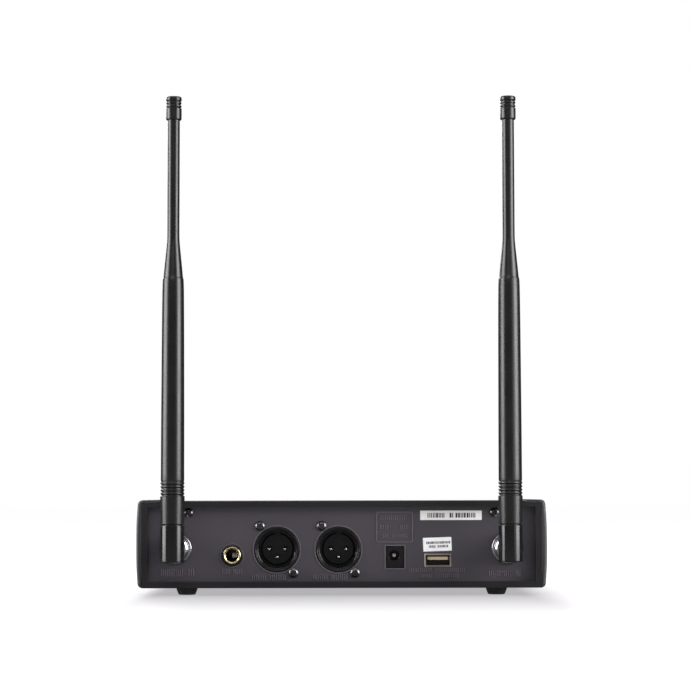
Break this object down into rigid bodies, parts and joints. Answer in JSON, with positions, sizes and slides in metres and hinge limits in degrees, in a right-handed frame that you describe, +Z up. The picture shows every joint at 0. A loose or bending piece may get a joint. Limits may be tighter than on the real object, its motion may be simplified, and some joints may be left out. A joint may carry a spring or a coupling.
{
  "type": "wireless receiver unit",
  "caption": "Low dark half-rack wireless microphone receiver with a recessed rear socket panel and two upright swivelling rod aerials.",
  "frame": {"origin": "under the middle of the whole object's box, on the plane that the rubber feet stand on", "axes": "+Z up along the aerials, +Y towards the rear socket panel and the aerials, -Y towards the front bezel"},
  "size_m": [0.2162, 0.1954, 0.261],
  "materials": {
    "shell_plastic": "fine-textured moulded ABS, dark grey",
    "panel_plastic": "satin moulded ABS, warm grey",
    "aerial_plastic": "satin soft-touch moulding",
    "aerial_gloss": "semi-gloss moulding",
    "foot_rubber": "matt rubber",
    "plated_metal": "bright nickel plate",
    "brass_plate": "polished",
    "socket_plastic": "black glass-filled nylon",
    "usb_metal": "nickel plated sheet",
    "usb_tongue": "moulded, beige",
    "window_glass": "smoked, polished",
    "display_face": "display, unlit",
    "circuit_board": "solder resist, green",
    "tin_plate": "tin plated sheet",
    "control_plastic": "satin black"
  },
  "bodies": {
    "case": {"bottom_case": "shell_plastic", "top_case": "shell_plastic", "end_cheek_a": "shell_plastic", "end_cheek_b": "shell_plastic", "rear_panel": "panel_plastic", "front_bezel": "shell_plastic", "display_window": "window_glass", "display_a": "display_face", "display_b": "display_face", "control_board": "circuit_board", "main_board": "circuit_board", "tuner_can_a": "tin_plate", "tuner_can_b": "tin_plate", "foot_1": "foot_rubber", "foot_2": "foot_rubber", "foot_3": "foot_rubber", "foot_4": "foot_rubber", "case_screw_a": "plated_metal", "case_screw_b": "plated_metal", "xlr_1_shell": "socket_plastic", "xlr_1_pin_1": "plated_metal", "xlr_1_pin_2": "plated_metal", "xlr_1_pin_3": "plated_metal", "xlr_1_screw_1": "plated_metal", "xlr_1_screw_2": "plated_metal", "xlr_2_shell": "socket_plastic", "xlr_2_pin_1": "plated_metal", "xlr_2_pin_2": "plated_metal", "xlr_2_pin_3": "plated_metal", "xlr_2_screw_1": "plated_metal", "xlr_2_screw_2": "plated_metal", "phone_jack_body": "socket_plastic", "phone_jack_bushing": "brass_plate", "phone_jack_ring": "socket_plastic", "dc_socket_body": "socket_plastic", "dc_socket_pin": "plated_metal", "usb_shell": "usb_metal", "usb_tongue": "usb_tongue", "aerial_socket_a": "plated_metal", "aerial_socket_b": "plated_metal", "socket_nut_a": "plated_metal", "socket_nut_b": "plated_metal", "level_pot_a": "tin_plate", "level_pot_b": "tin_plate"},
    "aerial_a": {"aerial_elbow_a": "aerial_gloss", "aerial_whip_a": "aerial_plastic", "aerial_tip_a": "aerial_plastic"},
    "bayonet_a": {"coupling_ring_a": "plated_metal"},
    "level_a": {"level_knob_a": "control_plastic"},
    "aerial_b": {"aerial_elbow_b": "aerial_gloss", "aerial_whip_b": "aerial_plastic", "aerial_tip_b": "aerial_plastic"},
    "bayonet_b": {"coupling_ring_b": "plated_metal"},
    "level_b": {"level_knob_b": "control_plastic"},
    "key_a_up": {"channel_button_a_up": "control_plastic"},
    "key_a_down": {"channel_button_a_down": "control_plastic"},
    "key_b_up": {"channel_button_b_up": "control_plastic"},
    "key_b_down": {"channel_button_b_down": "control_plastic"},
    "power_key": {"power_button": "control_plastic"}
  },
  "joints": [
    {"name": "aerial_a_swing", "type": "hinge", "parent": "case", "child": "aerial_a", "pos_m": [-0.0875, 0.09137, 0.0246], "axis": [0, 1, 0], "range_deg": [-90, 20]},
    {"name": "bayonet_a_turn", "type": "hinge", "parent": "case", "child": "bayonet_a", "pos_m": [-0.0875, 0.07537, 0.0246], "axis": [0, 1, 0], "range_deg": [0, 90]},
    {"name": "level_a_turn", "type": "hinge", "parent": "case", "child": "level_a", "pos_m": [-0.09, -0.08563, 0.027], "axis": [0, -1, 0], "range_deg": [-150, 150]},
    {"name": "aerial_b_swing", "type": "hinge", "parent": "case", "child": "aerial_b", "pos_m": [0.0875, 0.09137, 0.0246], "axis": [0, 1, 0], "range_deg": [-20, 90]},
    {"name": "bayonet_b_turn", "type": "hinge", "parent": "case", "child": "bayonet_b", "pos_m": [0.0875, 0.07537, 0.0246], "axis": [0, 1, 0], "range_deg": [0, 90]},
    {"name": "level_b_turn", "type": "hinge", "parent": "case", "child": "level_b", "pos_m": [0.09, -0.08563, 0.027], "axis": [0, -1, 0], "range_deg": [-150, 150]},
    {"name": "key_a_up_press", "type": "slide", "parent": "case", "child": "key_a_up", "axis": [0, 1, 0], "range_m": [0, 0.0008], "stiffness_N_per_m": 400, "springref_m": -0.0004},
    {"name": "key_a_down_press", "type": "slide", "parent": "case", "child": "key_a_down", "axis": [0, 1, 0], "range_m": [0, 0.0008], "stiffness_N_per_m": 400, "springref_m": -0.0004},
    {"name": "key_b_up_press", "type": "slide", "parent": "case", "child": "key_b_up", "axis": [0, 1, 0], "range_m": [0, 0.0008], "stiffness_N_per_m": 400, "springref_m": -0.0004},
    {"name": "key_b_down_press", "type": "slide", "parent": "case", "child": "key_b_down", "axis": [0, 1, 0], "range_m": [0, 0.0008], "stiffness_N_per_m": 400, "springref_m": -0.0004},
    {"name": "power_key_press", "type": "slide", "parent": "case", "child": "power_key", "axis": [0, 1, 0], "range_m": [0, 0.001], "stiffness_N_per_m": 500, "springref_m": -0.0004}
  ]
}
